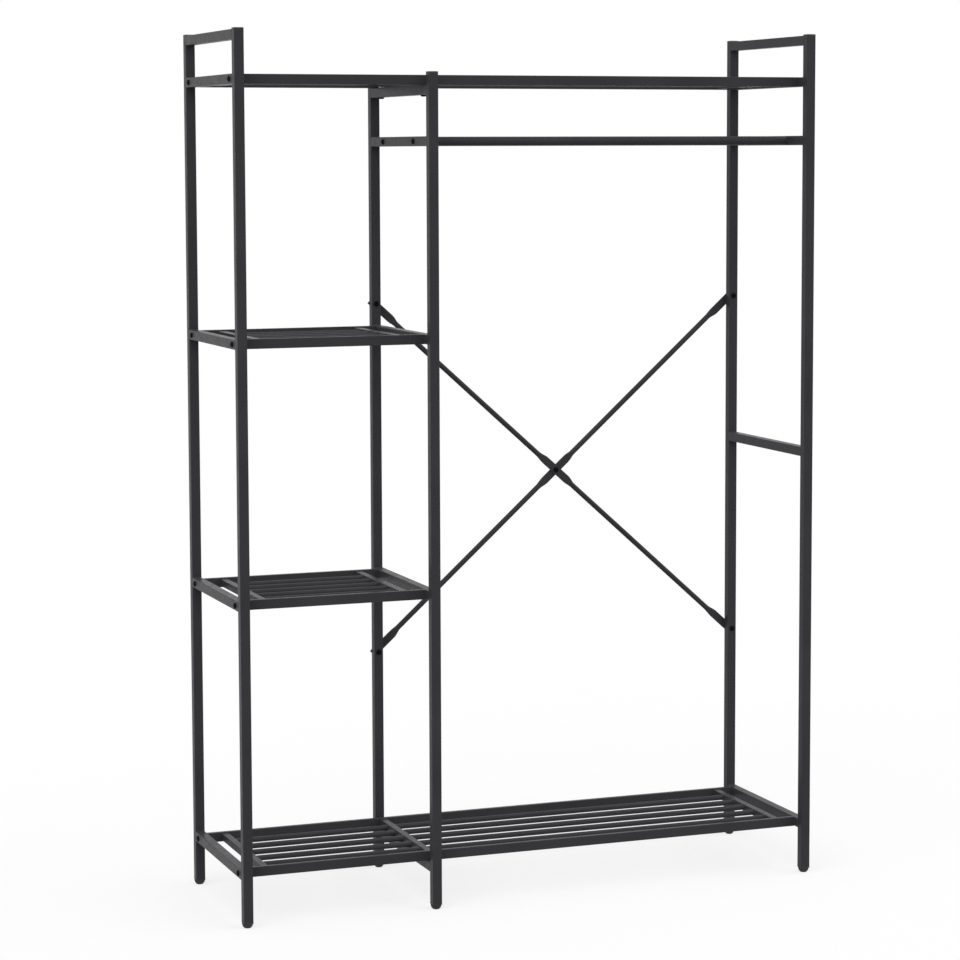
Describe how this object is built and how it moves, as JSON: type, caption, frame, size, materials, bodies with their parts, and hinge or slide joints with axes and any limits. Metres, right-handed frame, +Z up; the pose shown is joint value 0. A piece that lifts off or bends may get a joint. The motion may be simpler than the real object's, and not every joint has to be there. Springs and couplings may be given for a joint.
{
  "type": "open frame wardrobe",
  "caption": "Free-standing open wardrobe of square steel tube with rod shelves, a stack of small shelves, a hanging bay with rods and a crossed back brace.",
  "frame": {"origin": "on the floor, under the middle of the whole outline", "axes": "+X to the right seen from the front, +Y from the front to the back, +Z up"},
  "size_m": [1.2766, 0.407, 1.8025],
  "materials": {
    "frame_coat": "satin charcoal-black powder coat",
    "foot_plastic": "matte black moulded plastic",
    "cap_plastic": "matte black moulded plastic",
    "bolt_black": "black oxide, low sheen",
    "plain_steel": "zinc-plated steel inside the tubes"
  },
  "bodies": {
    "wardrobe": {"back_hanging_rod": "frame_coat", "bottom_shelf_back_rail": "frame_coat", "bottom_shelf_cross_bars": "frame_coat", "bottom_shelf_front_rail": "frame_coat", "bottom_shelf_slats": "frame_coat", "brace_bolts": "bolt_black", "brace_centre_bolt": "bolt_black", "brace_nuts": "bolt_black", "falling_brace": "frame_coat", "foot_inserts": "cap_plastic", "frame_bolts": "bolt_black", "front_hanging_rod": "frame_coat", "left_back_post": "frame_coat", "left_bottom_shelf_rail": "frame_coat", "left_front_post": "frame_coat", "left_lower_shelf_rail": "frame_coat", "left_top_rail": "frame_coat", "left_top_shelf_rail": "frame_coat", "left_upper_shelf_rail": "frame_coat", "lower_shelf_back_rail": "frame_coat", "lower_shelf_cross_bars": "frame_coat", "lower_shelf_front_rail": "frame_coat", "lower_shelf_slats": "frame_coat", "middle_back_post": "frame_coat", "middle_bottom_cross_rail": "frame_coat", "middle_front_post": "frame_coat", "middle_lower_shelf_rail": "frame_coat", "middle_rivet_nuts": "plain_steel", "middle_rod_rail": "frame_coat", "middle_top_cross_rail": "frame_coat", "middle_upper_shelf_rail": "frame_coat", "post_caps": "cap_plastic", "right_back_post": "frame_coat", "right_bottom_shelf_rail": "frame_coat", "right_front_post": "frame_coat", "right_rod_rail": "frame_coat", "right_side_bar": "frame_coat", "right_top_rail": "frame_coat", "right_top_shelf_rail": "frame_coat", "rising_brace": "frame_coat", "rod_end_plugs": "plain_steel", "shelf_end_plugs": "plain_steel", "top_shelf_back_rail": "frame_coat", "top_shelf_cross_bars": "frame_coat", "top_shelf_front_rail": "frame_coat", "top_shelf_slats": "frame_coat", "upper_shelf_back_rail": "frame_coat", "upper_shelf_cross_bars": "frame_coat", "upper_shelf_front_rail": "frame_coat", "upper_shelf_slats": "frame_coat"},
    "left_back_foot_body": {"left_back_foot": "foot_plastic"},
    "left_front_foot_body": {"left_front_foot": "foot_plastic"},
    "middle_back_foot_body": {"middle_back_foot": "foot_plastic"},
    "middle_front_foot_body": {"middle_front_foot": "foot_plastic"},
    "right_back_foot_body": {"right_back_foot": "foot_plastic"},
    "right_front_foot_body": {"right_front_foot": "foot_plastic"}
  },
  "joints": [
    {"name": "left_back_foot_screw", "type": "slide", "parent": "wardrobe", "child": "left_back_foot_body", "axis": [0, 0, -1], "range_m": [0, 0.012]},
    {"name": "left_front_foot_screw", "type": "slide", "parent": "wardrobe", "child": "left_front_foot_body", "axis": [0, 0, -1], "range_m": [0, 0.012]},
    {"name": "middle_back_foot_screw", "type": "slide", "parent": "wardrobe", "child": "middle_back_foot_body", "axis": [0, 0, -1], "range_m": [0, 0.012]},
    {"name": "middle_front_foot_screw", "type": "slide", "parent": "wardrobe", "child": "middle_front_foot_body", "axis": [0, 0, -1], "range_m": [0, 0.012]},
    {"name": "right_back_foot_screw", "type": "slide", "parent": "wardrobe", "child": "right_back_foot_body", "axis": [0, 0, -1], "range_m": [0, 0.012]},
    {"name": "right_front_foot_screw", "type": "slide", "parent": "wardrobe", "child": "right_front_foot_body", "axis": [0, 0, -1], "range_m": [0, 0.012]}
  ]
}
